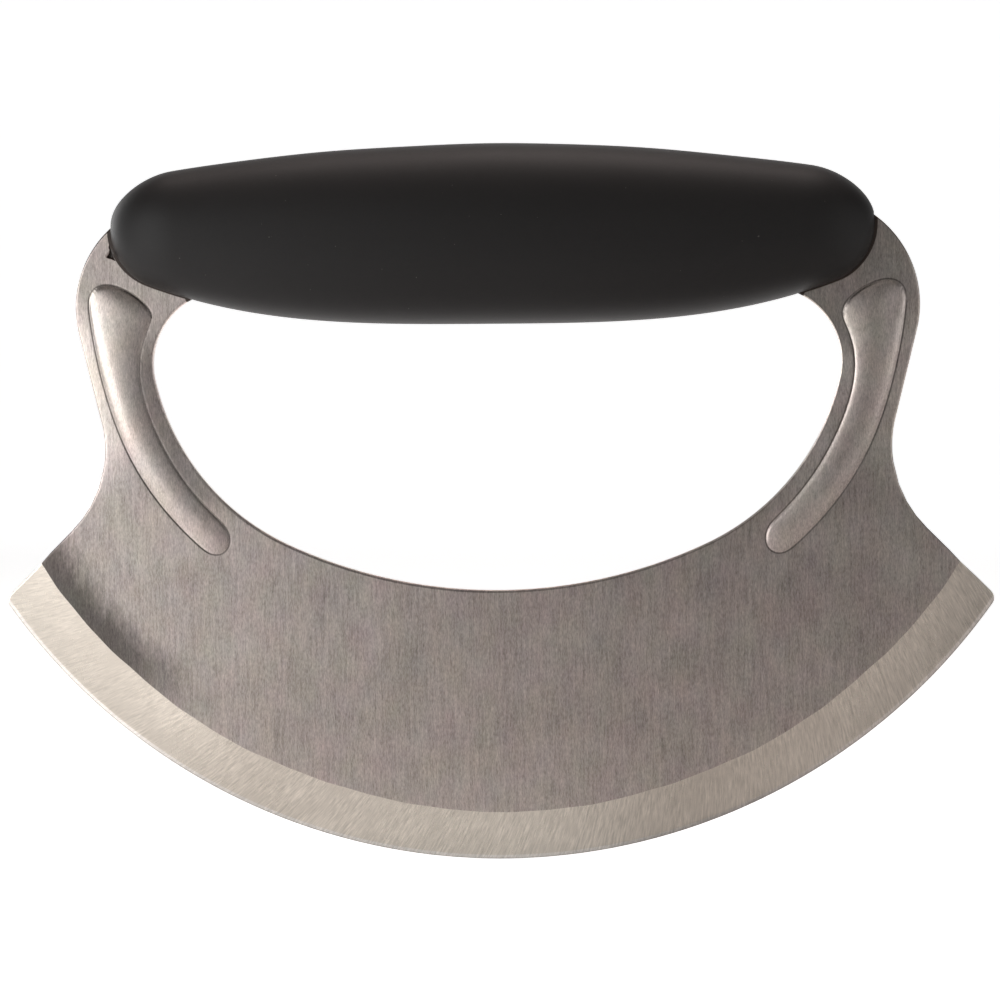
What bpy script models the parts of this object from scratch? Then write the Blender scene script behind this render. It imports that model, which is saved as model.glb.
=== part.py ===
# Ulu knife: a stamped steel rocking blade whose two arms run into a soft grip.
# Metres, +Z up. X runs along the grip, and the blade's mid-plane is Y = 0 with
# its front face at -Y. The origin is the lowest point of the cutting edge.

import math

import bmesh
import bpy
import numpy as np

MM = 0.001
GAP = 0.3 * MM

# Blade plate: the sheet, and the arcs of its outer edge from the cutting edge up
SHEET = 2.0 * MM
EDGE_RADIUS = 124.3 * MM
HALF_SPAN = 101.9 * MM
TIP_RADIUS = 1.9 * MM
HALF_WAIST = 81.25 * MM
WAIST_RADIUS = 23.6 * MM
HALF_SHOULDER = 87.0 * MM
SHOULDER_RADIUS = 22.6 * MM
BAR_TOP = 136.5 * MM
TIP_STEPS = 6
WAIST_STEPS = 10
SHOULDER_STEPS = 18

# Finger opening: a flat bottom arc, two side arcs and two small upper corners
OPENING_BOTTOM = 55.6 * MM
OPENING_RADIUS = 102.7 * MM
SIDE_OFFSET = 22.4 * MM
SIDE_RADIUS = 49.3 * MM
HALF_OPENING = 70.9 * MM
CORNER_RADIUS = 15.1 * MM
BOTTOM_STEPS = 12
SIDE_STEPS = 12
CORNER_STEPS = 10

# Ground bevel on both faces, and the small bevel that makes the edge
BEVEL_WIDTH = 9.7 * MM
BEVEL_EDGE = 0.5 * MM
MICRO_WIDTH = 0.8 * MM
EDGE_LAND = 0.1 * MM
EDGE_STEPS = 240
CUTTER_MARGIN = 1.0 * MM

# Pressed ribs: the two side curves of the right rib, top to bottom, as cubic
# control points, and the shares of their length over which the ends are rounded
RIB_OUTER = ((84.4, 121.6), (85.1, 94.1), (74.2, 74.8), (57.6, 61.2))
RIB_INNER = ((69.2, 114.6), (81.2, 100.6), (68.4, 79.9), (53.8, 67.2))
RIB_TOP_ROUND = 0.075
RIB_TOP_POWER = 2.4
RIB_LOW_ROUND = 0.065
RIB_LOW_POWER = 2.2
RIB_TOP_SLOPE = 0.16
RIB_LOW_SLOPE = 0.3
RIB_HEIGHT = 1.6 * MM
RIB_LIP = 0.2 * MM
RIB_WALL_ROOM = 1.2 * MM
RIB_DOME_POWER = 2.4
RIB_STEPS = (26, 8)

# Grip: crown and belly of its front view, its plan, and where each of the
# three starts to round off towards the ends
GRIP_TOP = 147.5 * MM
CROWN_RADIUS = 430 * MM
CROWN_ROUND = 66 * MM
CROWN_POWER = 2.05
GRIP_BOTTOM = 110.4 * MM
BELLY_RISE = 5.6 * MM
BELLY_AT = 62.7 * MM
BELLY_POWER = 3.2
BELLY_ROUND = 71 * MM
BELLY_END_POWER = 2.4
GRIP_HALF_LENGTH = 79.1 * MM
GRIP_END_HEIGHT = 131.0 * MM
GRIP_HALF_THICKNESS = 14.5 * MM
GRIP_END_THINNING = 5.0 * MM
THINNING_POWER = 2.2
PLAN_ROUND = 64 * MM
PLAN_POWER = 2.1
SECTION_POWER = 2.3
SKIN = 3.0 * MM
SKIN_STEPS = (44, 28)
CORE_STEPS = (36, 24)

# Press rivets through the bar, and the core's bosses and pockets round them
RIVET_X = {"left": -45 * MM, "middle": 0.0, "right": 45 * MM}
RIVET_Z = 127.1 * MM
RIVET_HALF_LENGTH = 9.0 * MM
RIVET_HEAD = 1.3 * MM
RIVET_HEAD_RADIUS = 4.5 * MM
RIVET_CAP = 1.0 * MM
SLEEVE_RADIUS = 2.8 * MM
SHANK_RADIUS = 1.8 * MM
ROUND_STEPS = 20
POCKET_SPANS = ((8, 21.5), (23.5, 37), (53, 63))
POCKET_HEIGHT = 14 * MM
POCKET_WALL = 2.2 * MM


def material(name, colour, metallic, roughness):
    """A plain surface of one colour."""
    made = bpy.data.materials.new(name)
    made.use_nodes = True
    surface = made.node_tree.nodes["Principled BSDF"]
    surface.inputs["Base Color"].default_value = (*colour, 1)
    surface.inputs["Metallic"].default_value = metallic
    surface.inputs["Roughness"].default_value = roughness
    return made


def add_piece(name, bm, finish, smooth_angle=30):
    """Link a mesh as one named piece, with its faces pointing out."""
    bmesh.ops.remove_doubles(bm, verts=bm.verts, dist=0.001 * MM)
    bmesh.ops.recalc_face_normals(bm, faces=bm.faces)
    mesh = bpy.data.meshes.new(name)
    bm.to_mesh(mesh)
    bm.free()
    mesh.shade_smooth()
    mesh.set_sharp_from_angle(angle=math.radians(smooth_angle))
    piece = bpy.data.objects.new(name, mesh)
    bpy.context.collection.objects.link(piece)
    piece.parent = knife
    if finish:
        mesh.materials.append(finish)
    return piece


def add_tool(name, bm):
    """Link a mesh that only cuts or joins another."""
    tool = add_piece(name, bm, None)
    tool.hide_render = True
    tool.display_type = "WIRE"
    return tool


def combine(piece, tool, operation="DIFFERENCE", solver="EXACT"):
    """Cut a piece with a tool, or join the tool to it."""
    step = piece.modifiers.new(tool.name, "BOOLEAN")
    step.operation = operation
    step.solver = solver
    step.object = tool


def arc(centre, radius, start, end, steps):
    """Points (x, z) along a circle between two angles in degrees."""
    angles = np.radians(np.linspace(start, end, steps + 1))
    return [(centre[0] + radius * math.cos(a), centre[1] + radius * math.sin(a)) for a in angles]


def mirrored_loop(right):
    """Close a right-hand half outline, bottom to top, with its mirror image."""
    on_axis = 0.001 * MM
    left = [(-x, z) for x, z in reversed(right) if x > on_axis]
    return right + left


def outer_outline(grow=0.0):
    """The plate's outside, moved outwards by grow: tangent arcs and straight ends."""
    tip_x = HALF_SPAN - TIP_RADIUS
    tip_z = EDGE_RADIUS - math.sqrt((EDGE_RADIUS - TIP_RADIUS) ** 2 - tip_x ** 2)
    end_line = tip_x + tip_z + TIP_RADIUS * math.sqrt(2)
    waist_x = HALF_WAIST + WAIST_RADIUS
    waist_z = end_line + WAIST_RADIUS * math.sqrt(2) - waist_x
    shoulder_x = HALF_SHOULDER - SHOULDER_RADIUS
    shoulder_z = BAR_TOP - SHOULDER_RADIUS
    run = (shoulder_x - waist_x, shoulder_z - waist_z)
    cross = math.asin((WAIST_RADIUS + SHOULDER_RADIUS) / math.hypot(*run))
    arm_lean = 90 - math.degrees(math.atan2(run[1], run[0]) - cross)
    tip_start = math.degrees(math.atan2(tip_z - EDGE_RADIUS, tip_x))
    step = 360 / EDGE_STEPS
    whole_steps = int((tip_start + 90) / step)
    right = arc((0, EDGE_RADIUS), EDGE_RADIUS + grow, -90, whole_steps * step - 90, whole_steps)
    right += arc((tip_x, tip_z), TIP_RADIUS + grow, tip_start, 45, TIP_STEPS)
    right += arc((waist_x, waist_z), WAIST_RADIUS - grow, 225, 180 - arm_lean, WAIST_STEPS)
    right += arc((shoulder_x, shoulder_z), SHOULDER_RADIUS + grow, -arm_lean, 90, SHOULDER_STEPS)
    return mirrored_loop(right)


def opening_outline(grow=0.0):
    """The finger opening, narrowed by grow: three tangent arcs on each side."""
    bottom_z = OPENING_BOTTOM + OPENING_RADIUS
    side_z = bottom_z - math.sqrt((OPENING_RADIUS - SIDE_RADIUS) ** 2 - SIDE_OFFSET ** 2)
    corner_x = HALF_OPENING - CORNER_RADIUS
    reach = corner_x - SIDE_OFFSET
    corner_z = side_z - math.sqrt((SIDE_RADIUS - CORNER_RADIUS) ** 2 - reach ** 2)
    to_side = math.degrees(math.atan2(side_z - bottom_z, SIDE_OFFSET))
    to_corner = math.degrees(math.atan2(corner_z - side_z, reach))
    right = arc((0, bottom_z), OPENING_RADIUS - grow, -90, to_side, BOTTOM_STEPS)
    right += arc((SIDE_OFFSET, side_z), SIDE_RADIUS - grow, to_side, to_corner, SIDE_STEPS)[1:]
    right += arc((corner_x, corner_z), CORNER_RADIUS - grow, to_corner, 90, CORNER_STEPS)[1:]
    return mirrored_loop(right)


def prism(loops, low_y, high_y):
    """A flat face bounded by the loops in the XZ plane, with any inner loop
    a hole, extruded from low_y to high_y."""
    bm = bmesh.new()
    for loop in loops:
        points = [bm.verts.new((x, low_y, z)) for x, z in loop]
        for first, second in zip(points, points[1:] + points[:1]):
            bm.edges.new((first, second))
    bmesh.ops.triangle_fill(bm, use_beauty=True, edges=bm.edges[:])
    made = bmesh.ops.extrude_face_region(bm, geom=bm.faces[:])
    raised = [item for item in made["geom"] if isinstance(item, bmesh.types.BMVert)]
    bmesh.ops.translate(bm, verts=raised, vec=(0, high_y - low_y, 0))
    return bm


def turned(profile, steps, centre=(0, 0)):
    """A profile of (radius, y) points turned round the Y direction through a
    centre (x, z). The profile closes on itself, or ends on the axis."""
    bm = bmesh.new()
    points = [bm.verts.new((centre[0], y, centre[1] - radius)) for radius, y in profile]
    edges = [bm.edges.new(pair) for pair in zip(points, points[1:])]
    if profile[0][0] > 0:
        edges.append(bm.edges.new((points[-1], points[0])))
    bmesh.ops.spin(bm, geom=points + edges, cent=(centre[0], 0, centre[1]), axis=(0, 1, 0),
                   dvec=(0, 0, 0), angle=2 * math.pi, steps=steps, use_merge=True)
    return bm


def box(low, high):
    """A rectangular block between two corners."""
    bm = bmesh.new()
    bmesh.ops.create_cube(bm, size=1)
    size = [b - a for a, b in zip(low, high)]
    middle = [(a + b) / 2 for a, b in zip(low, high)]
    bmesh.ops.scale(bm, verts=bm.verts, vec=size)
    bmesh.ops.translate(bm, verts=bm.verts, vec=middle)
    return bm


def cubic(points, t):
    """Points of a cubic curve with four control points, at parameters t."""
    p = np.array(points) * MM
    t = t[:, None]
    return (1 - t) ** 3 * p[0] + 3 * (1 - t) ** 2 * t * p[1] + 3 * (1 - t) * t ** 2 * p[2] + t ** 3 * p[3]


def rib_body(side, face_y, narrowing, sink):
    """One rib as a closed body: a domed surface between the two side curves,
    raised from face_y towards the front, and a flat back sink behind face_y.
    The ends are rounded by drawing the two curves together."""
    rows, columns = RIB_STEPS
    t = (1 - np.cos(np.pi * np.linspace(0, 1, rows + 1))) / 2
    outer = cubic(RIB_OUTER, t)
    inner = cubic(RIB_INNER, t)
    middle = (outer + inner) / 2
    half = (outer - inner) / 2
    width = np.linalg.norm(half, axis=1)
    top_round = 1 - np.clip(1 - t / RIB_TOP_ROUND, 0, 1) ** RIB_TOP_POWER
    low_round = 1 - np.clip(1 - (1 - t) / RIB_LOW_ROUND, 0, 1) ** RIB_LOW_POWER
    rounding = np.sqrt(top_round * low_round)
    half *= (rounding * (1 - narrowing / width))[:, None]
    across = np.linspace(-1, 1, columns + 1)
    dome = 1 - np.abs(across) ** RIB_DOME_POWER
    ramp = np.sqrt(np.clip(t / RIB_TOP_SLOPE, 0, 1) * np.clip((1 - t) / RIB_LOW_SLOPE, 0, 1))
    lift = RIB_LIP + (RIB_HEIGHT - RIB_LIP) * ramp[:, None] * dome[None, :]
    bm = bmesh.new()
    layers = []
    for level in (face_y - lift, np.full_like(lift, face_y + sink)):
        grid = []
        for i in range(rows + 1):
            places = middle[i] + across[:, None] * half[i]
            grid.append([bm.verts.new((side * x, y, z)) for (x, z), y in zip(places, level[i])])
        layers.append(grid)
    for grid in layers:
        for i in range(rows):
            for j in range(columns):
                bm.faces.new((grid[i][j], grid[i + 1][j], grid[i + 1][j + 1], grid[i][j + 1]))
    rims = []
    for grid in layers:
        right_side = [row[-1] for row in grid[1:]]
        left_side = [row[0] for row in reversed(grid[1:-1])]
        rims.append(grid[0] + right_side + list(reversed(grid[-1]))[1:] + left_side)
    front, back = rims
    for k in range(len(front)):
        bm.faces.new((front[k - 1], front[k], back[k], back[k - 1]))
    bmesh.ops.remove_doubles(bm, verts=bm.verts, dist=0.001 * MM)
    bmesh.ops.triangulate(bm, faces=bm.faces)
    return bm


def end_round(x, start, end, power):
    """1 up to start, then falling to 0 at end along a superellipse."""
    u = np.clip((np.abs(x) - start) / (end - start), 0, 1)
    return (1 - u ** power) ** (1 / power)


def grip_half_thickness(x):
    """Half the grip's thickness along its length, before the ends are rounded."""
    return GRIP_HALF_THICKNESS - GRIP_END_THINNING * (np.abs(x) / GRIP_HALF_LENGTH) ** THINNING_POWER


def grip_body(inset, steps):
    """A closed body inset by a distance from the grip's outside. Each section
    across X is a superellipse between the crown and the belly curves, and the
    sections close to a point at each end."""
    steps_along, steps_round = steps
    half_length = GRIP_HALF_LENGTH - inset
    x = half_length * np.sin(np.linspace(-math.pi / 2, math.pi / 2, steps_along + 1))
    crown = GRIP_TOP - x ** 2 / (2 * CROWN_RADIUS) - inset - GRIP_END_HEIGHT
    belly = GRIP_BOTTOM + BELLY_RISE * (np.abs(x) / BELLY_AT) ** BELLY_POWER + inset - GRIP_END_HEIGHT
    crown = crown * end_round(x, CROWN_ROUND, half_length, CROWN_POWER)
    belly = belly * end_round(x, BELLY_ROUND, half_length, BELLY_END_POWER)
    thick = (grip_half_thickness(x) - inset) * end_round(x, PLAN_ROUND, half_length, PLAN_POWER)
    middle = GRIP_END_HEIGHT + (crown + belly) / 2
    tall = (crown - belly) / 2
    turn = np.linspace(0, 2 * math.pi, steps_round, endpoint=False)
    power = 2 / SECTION_POWER
    sine = np.sign(np.sin(turn)) * np.abs(np.sin(turn)) ** power
    cosine = np.sign(np.cos(turn)) * np.abs(np.cos(turn)) ** power
    bm = bmesh.new()
    rings = []
    for i in range(1, steps_along):
        rings.append([bm.verts.new((x[i], thick[i] * c, middle[i] + tall[i] * s))
                      for s, c in zip(sine, cosine)])
    for ring, following in zip(rings, rings[1:]):
        for k in range(steps_round):
            bm.faces.new((ring[k - 1], ring[k], following[k], following[k - 1]))
    for ring, tip_x in ((rings[0], -half_length), (rings[-1], half_length)):
        tip = bm.verts.new((tip_x, 0, GRIP_END_HEIGHT))
        for k in range(steps_round):
            bm.faces.new((ring[k - 1], ring[k], tip))
    return bm


def make_blade_plate():
    """The sheet with its opening, ground bevels, pressed ribs and rivet holes."""
    half = SHEET / 2
    loops = [outer_outline(), opening_outline()]
    for x in RIVET_X.values():
        loops.append(arc((x, RIVET_Z), SLEEVE_RADIUS + GAP, -90, 270, ROUND_STEPS)[1:])
    plate = add_piece("blade_plate", prism(loops, -half, half), steel)
    grind = EDGE_RADIUS - BEVEL_WIDTH
    micro = EDGE_RADIUS - MICRO_WIDTH
    slope = (half - BEVEL_EDGE / 2) / (micro - grind)
    micro_slope = (BEVEL_EDGE - EDGE_LAND) / 2 / MICRO_WIDTH
    for face, side in (("front", -1), ("rear", 1)):
        profile = [(grind - CUTTER_MARGIN, side * (half + slope * CUTTER_MARGIN)),
                   (micro, side * BEVEL_EDGE / 2),
                   (EDGE_RADIUS + CUTTER_MARGIN, side * (EDGE_LAND / 2 - micro_slope * CUTTER_MARGIN)),
                   (EDGE_RADIUS + CUTTER_MARGIN, side * 2 * SHEET),
                   (grind - CUTTER_MARGIN, side * 2 * SHEET)]
        combine(plate, add_tool(f"{face}_bevel_cutter", turned(profile, EDGE_STEPS, (0, EDGE_RADIUS))))
    for name, side in (("left", -1), ("right", 1)):
        raised = add_tool(f"{name}_rib", rib_body(side, -half, 0, half / 2))
        combine(plate, raised, "UNION", "MANIFOLD")
        recess = add_tool(f"{name}_rib_recess", rib_body(side, half, RIB_WALL_ROOM, half))
        combine(plate, recess, "DIFFERENCE", "MANIFOLD")


def make_core_half(name, side, plate_room):
    """One rigid half, with a seat for the bar, rivet bosses and cored pockets."""
    core = add_piece(name, grip_body(SKIN, CORE_STEPS), plastic)
    reach = 2 * GRIP_HALF_LENGTH
    far_y = -side * GRIP_HALF_LENGTH
    near_y = side * GAP / 2
    other_side = box((-reach, min(far_y, near_y), 0), (reach, max(far_y, near_y), reach))
    combine(core, add_tool(f"{name}_parting", other_side))
    combine(core, plate_room)
    low_z = RIVET_Z - POCKET_HEIGHT / 2
    for number, (start, end) in enumerate(POCKET_SPANS):
        depth = side * (grip_half_thickness(end * MM) - SKIN - POCKET_WALL)
        for hand in (-1, 1):
            xs = sorted((hand * start * MM, hand * end * MM))
            ys = sorted((-side * SHEET, depth))
            pocket = box((xs[0], ys[0], low_z), (xs[1], ys[1], low_z + POCKET_HEIGHT))
            combine(core, add_tool(f"{name}_pocket_{number}_{hand}", pocket))
    floor = side * (RIVET_HALF_LENGTH - RIVET_HEAD - GAP)
    inner_end = -side * SHEET
    outer_end = side * 2 * RIVET_HALF_LENGTH
    hole = SLEEVE_RADIUS + GAP
    seat = RIVET_HEAD_RADIUS + GAP
    profile = [(0, inner_end), (hole, inner_end), (hole, floor),
               (seat, floor), (seat, outer_end), (0, outer_end)]
    for place, x in RIVET_X.items():
        rivet_room = turned(profile, ROUND_STEPS, (x, RIVET_Z))
        combine(core, add_tool(f"{name}_{place}_hole", rivet_room))


def make_rivets():
    """Three press rivets: a post from the front and a sleeve from the rear."""
    end = RIVET_HALF_LENGTH
    under_head = end - RIVET_HEAD
    bore = SHANK_RADIUS + GAP
    bore_end = under_head - RIVET_CAP
    post = [(0, -end), (RIVET_HEAD_RADIUS, -end), (RIVET_HEAD_RADIUS, -under_head),
            (SHANK_RADIUS, -under_head), (SHANK_RADIUS, bore_end - GAP), (0, bore_end - GAP)]
    sleeve = [(0, end), (RIVET_HEAD_RADIUS, end), (RIVET_HEAD_RADIUS, under_head),
              (SLEEVE_RADIUS, under_head), (SLEEVE_RADIUS, GAP - under_head),
              (bore, GAP - under_head), (bore, bore_end), (0, bore_end)]
    for place, x in RIVET_X.items():
        for part_name, profile in (("post", post), ("sleeve", sleeve)):
            piece = add_piece(f"{place}_rivet_{part_name}", turned(profile, ROUND_STEPS), rivet_steel)
            piece.location = (x, 0, RIVET_Z)


def make_grip_skin(plate_room):
    """The soft covering, open only where the two arms come in."""
    skin = add_piece("grip_skin", grip_body(0, SKIN_STEPS), elastomer)
    combine(skin, add_tool("skin_hollow", grip_body(SKIN - GAP, CORE_STEPS)))
    combine(skin, plate_room)


for old in list(bpy.data.objects):
    bpy.data.objects.remove(old)

knife = bpy.data.objects.new("ulu_knife", None)
bpy.context.collection.objects.link(knife)
steel = material("brushed_stainless", (0.42, 0.38, 0.35), 1.0, 0.38)
plastic = material("moulded_core_plastic", (0.06, 0.06, 0.065), 0.0, 0.55)
rivet_steel = material("rivet_stainless", (0.5, 0.49, 0.47), 1.0, 0.3)
elastomer = material("soft_black_elastomer", (0.02, 0.018, 0.018), 0.0, 0.7)

room_y = SHEET / 2 + GAP
room = add_tool("plate_room", prism([outer_outline(GAP), opening_outline(GAP)], -room_y, room_y))
make_blade_plate()
make_core_half("front_core_half", -1, room)
make_core_half("rear_core_half", 1, room)
make_rivets()
make_grip_skin(room)
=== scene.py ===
import math

import bpy
import numpy as np
from mathutils import Matrix, Vector


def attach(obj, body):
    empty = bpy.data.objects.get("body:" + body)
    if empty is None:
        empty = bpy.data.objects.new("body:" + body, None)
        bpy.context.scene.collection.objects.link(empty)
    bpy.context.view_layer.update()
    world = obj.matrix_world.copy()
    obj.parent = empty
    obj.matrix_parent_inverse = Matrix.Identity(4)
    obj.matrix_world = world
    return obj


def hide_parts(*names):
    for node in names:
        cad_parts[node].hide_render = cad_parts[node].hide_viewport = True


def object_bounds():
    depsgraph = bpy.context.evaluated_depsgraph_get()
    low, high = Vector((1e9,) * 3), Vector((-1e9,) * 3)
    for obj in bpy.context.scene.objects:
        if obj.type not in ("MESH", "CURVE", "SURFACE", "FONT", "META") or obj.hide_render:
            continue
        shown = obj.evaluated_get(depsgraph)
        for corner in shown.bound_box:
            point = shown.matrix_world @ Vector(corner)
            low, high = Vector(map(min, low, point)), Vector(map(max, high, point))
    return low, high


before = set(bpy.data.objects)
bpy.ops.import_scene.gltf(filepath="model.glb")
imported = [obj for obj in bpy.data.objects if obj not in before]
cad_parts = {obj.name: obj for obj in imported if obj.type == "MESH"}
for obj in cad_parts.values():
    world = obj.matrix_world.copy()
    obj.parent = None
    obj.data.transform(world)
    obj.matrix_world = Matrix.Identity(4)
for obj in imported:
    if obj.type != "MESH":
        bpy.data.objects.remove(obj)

cad_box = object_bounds()


# Camera
# A long lens about 0.9 m away, a little to the knife's right and a little above the
# middle of it, turned slightly about its own axis.
MM = 0.001
CAMERA_DISTANCE = 900 * MM
CAMERA_TO_RIGHT = 4.07
CAMERA_ABOVE = 2.36
CAMERA_ROLL = 0.423
CAMERA_AIM = Vector((0.72, 0, 74.15)) * MM
PHOTO_PIXEL = 0.2065 * MM
PHOTO_WIDTH = 1000
LENS_TRIM = 1.0027
SENSOR_WIDTH = 36
VIEW_END = 20

azimuth = math.radians(CAMERA_TO_RIGHT)
height_angle = math.radians(CAMERA_ABOVE)
roll = math.radians(CAMERA_ROLL)
towards = Vector((-math.sin(azimuth) * math.cos(height_angle),
                  math.cos(azimuth) * math.cos(height_angle),
                  -math.sin(height_angle)))
level_right = Vector((math.cos(azimuth), math.sin(azimuth), 0))
level_up = level_right.cross(towards)
frame_right = level_right * math.cos(roll) - level_up * math.sin(roll)
frame_up = level_right * math.sin(roll) + level_up * math.cos(roll)
place = CAMERA_AIM - towards * CAMERA_DISTANCE

lens = bpy.data.cameras.new("camera")
lens.sensor_width = SENSOR_WIDTH
lens.lens = SENSOR_WIDTH * CAMERA_DISTANCE * LENS_TRIM / PHOTO_PIXEL / PHOTO_WIDTH
lens.clip_end = VIEW_END
camera = bpy.data.objects.new("camera", lens)
camera.matrix_world = Matrix((
    (frame_right.x, frame_up.x, -towards.x, place.x),
    (frame_right.y, frame_up.y, -towards.y, place.y),
    (frame_right.z, frame_up.z, -towards.z, place.z),
    (0, 0, 0, 1)))
bpy.context.scene.collection.objects.link(camera)
bpy.context.scene.camera = camera
bpy.context.scene.view_settings.view_transform = "Standard"


# Blade plate
# One sheet of 2 mm stainless steel stamped to a closed loop: a rocking crescent ground
# on both faces to its edge, two arms with a rib pressed into each, and a bar that runs
# hidden through the grip. Both faces are brushed upright.
SHEET = 2.0 * MM
EDGE_RADIUS = 124.3 * MM
HALF_SPAN = 101.9 * MM
TIP_RADIUS = 1.9 * MM
HALF_WAIST = 81.25 * MM
WAIST_RADIUS = 23.6 * MM
HALF_SHOULDER = 87.0 * MM
SHOULDER_RADIUS = 22.6 * MM
BAR_TOP = 136.5 * MM
OPENING_BOTTOM = 55.6 * MM
OPENING_RADIUS = 102.7 * MM
SIDE_OFFSET = 22.4 * MM
SIDE_RADIUS = 49.3 * MM
HALF_OPENING = 70.9 * MM
CORNER_RADIUS = 15.1 * MM
OUTLINE_STEP = 0.1 * MM
JOIN_RADIUS = 92.0 * MM

BEVEL_WIDTH = 9.7 * MM
BEVEL_EDGE = 0.5 * MM
MICRO_WIDTH = 0.8 * MM
EDGE_LAND = 0.1 * MM
BEVEL_HOLLOW = 0.85
ROLL_WIDTH = 4.0 * MM
ROLL_DROP = 0.035 * MM
GRIND_WAVES = ((0.10 * MM, 17, 0.4), (0.06 * MM, 41, 2.1), (0.04 * MM, 83, 5.0))
GRIND_FLARE = 0.5 * MM
GRIND_FLARE_POWER = 6
GRIND_TIP = 56
GRIND_LEFT = 0.52 * MM
GRIND_RIGHT = 0.16 * MM
GRIND_SIDE_TURN = 12
GRIND_CREASE = 0.04 * MM
CREASE_CLEAR = 0.6 * MM
GRIND_BLEND = 4 * MM
RIM_BAND = 0.6
STEEPEST = 1.3
FRONT_EDGE_ROUND = 0.40 * MM
SIDE_EDGE_ROUND = 0.40 * MM
REAR_EDGE_ROUND = 0.25 * MM
ARM_ROUND_SHARE = 0.6
ARM_ROUND_HEIGHTS = (66 * MM, 80 * MM)

RIB_OUTER = ((84.3, 121.6), (84.9, 107.7), (80.1, 96.2), (80.2, 85.4),
             (72.6, 75.6), (65.8, 68.3), (57.4, 61.4))
RIB_INNER = ((69.1, 114.4), (74.0, 107.7), (78.6, 98.7), (69.6, 91.6),
             (70.3, 80.8), (60.9, 73.4), (54.0, 67.0))
RIB_TOP_ROUND = 0.085
RIB_TOP_POWER = 2.2
RIB_LOW_ROUND = 0.065
RIB_LOW_POWER = 2.2
RIB_HEIGHT = 0.95 * MM
RIB_CORNER_SMOOTH = 1.3 * MM
RIB_LIP = 0.10 * MM
RIB_LIP_WIDTH = 0.35 * MM
RIB_FILLET = 0.8 * MM
RIB_LOW_SLOPE = 0.3
RIB_REAR_INSET = 0.9 * MM
RIB_REAR_SHARE = 0.25
ARM_LEAN_DROP = 0.7 * MM
ARM_LEAN_WIDTH = 5.5 * MM
ARM_LEAN_POWER = 1.5
ARM_LEAN_HEIGHTS = (66 * MM, 92 * MM, 108 * MM, 118 * MM)
SHOULDER_SLOPE = 0.13
SHOULDER_HEIGHTS = (68 * MM, 79 * MM, 102 * MM, 112 * MM)
RIB_GROOVE = 0.06 * MM
RIB_GROOVE_WIDTH = 0.16 * MM
RIB_GROOVE_AT = -0.05 * MM
RIB_FIELD = (48 * MM, 55 * MM, 126 * MM)
FAR = 20 * MM

GRIP_TOP = 147.5 * MM
CROWN_RADIUS = 430 * MM
CROWN_ROUND = 66 * MM
CROWN_POWER = 2.05
GRIP_BOTTOM = 110.4 * MM
SEAM_FROM = 102.4 * MM
BELLY_RISE = 5.6 * MM
BELLY_AT = 62.7 * MM
BELLY_POWER = 3.2
BELLY_ROUND = 71 * MM
BELLY_END_POWER = 2.4
GRIP_HALF_LENGTH = 79.1 * MM
GRIP_LEFT_END = -79.5 * MM
GRIP_RIGHT_END = 77.9 * MM
GRIP_END_HEIGHT = 131.0 * MM
GRIP_HALF_THICKNESS = 14.5 * MM
GRIP_END_THINNING = 5.0 * MM
THINNING_POWER = 2.2
PLAN_ROUND = 64 * MM
PLAN_POWER = 2.1
SECTION_POWER = 2.3
SKIN = 3.0 * MM
RIVET_X = (-45 * MM, 0.0, 45 * MM)
RIVET_Z = 127.1 * MM
RIVET_HOLE = 3.1 * MM
NICK = (((-80.26, 124.68), (-78.66, 124.11), (-79.35, 125.95)),
        ((-79.62, 125.4), (-79.10, 125.3), (-79.63, 127.1)))
NICK_DEPTH = 0.7 * MM


def arc(centre, radius, start, end):
    """Points (x, z) along a circle: centre + radius times (cosine, sine) of angles
    that run evenly from start to end, in degrees, about OUTLINE_STEP apart."""
    steps = max(int(abs(math.radians(end - start)) * radius / OUTLINE_STEP), 12)
    turn = np.radians(np.linspace(start, end, steps + 1))
    return np.stack([centre[0] + radius * np.cos(turn), centre[1] + radius * np.sin(turn)], 1)


def join(*stretches):
    """Stretches of (x, z) points end to end, without the points that they share, and
    with straight gaps filled at about OUTLINE_STEP."""
    points = np.vstack(stretches)
    run = np.linalg.norm(np.diff(points, axis=0), axis=1)
    points = points[np.r_[True, run > OUTLINE_STEP / 1000]]
    along = np.r_[0, np.cumsum(np.linalg.norm(np.diff(points, axis=0), axis=1))]
    even = np.linspace(0, along[-1], int(along[-1] / OUTLINE_STEP) + 1)
    return np.stack([np.interp(even, along, points[:, k]) for k in (0, 1)], 1)


def at(path, share):
    """The points at shares 0 to 1 of a path's length, whose points lie evenly."""
    even = np.linspace(0, 1, len(path))
    return np.stack([np.interp(share, even, path[:, k]) for k in (0, 1)], -1)


def outward(path, share):
    """The unit normals at shares of a path's length: its direction turned a quarter
    turn clockwise."""
    small = 0.2 * MM / (OUTLINE_STEP * len(path))
    run = at(path, np.minimum(share + small, 1)) - at(path, np.maximum(share - small, 0))
    run /= np.linalg.norm(run, axis=-1, keepdims=True)
    return np.stack([run[..., 1], -run[..., 0]], -1)


def clustered(low, high, spacings):
    """Values from low to high whose spacing follows the given list of (share, spacing)."""
    shares, sizes = zip(*spacings)
    fine = np.linspace(0, 1, 2001)
    density = 1 / np.interp(fine, shares, sizes)
    total = np.r_[0, np.cumsum((density[1:] + density[:-1]) / 2 * np.diff(fine))] * abs(high - low)
    count = int(math.ceil(total[-1]))
    return low + (high - low) * np.interp(np.linspace(0, total[-1], count + 1), total, fine)


def smooth_step(value, low, high):
    """0 below low, 1 above high, and 3 s^2 - 2 s^3 between, with s the share of the way."""
    share = np.clip((value - low) / (high - low), 0, 1)
    return share * share * (3 - 2 * share)


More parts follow.
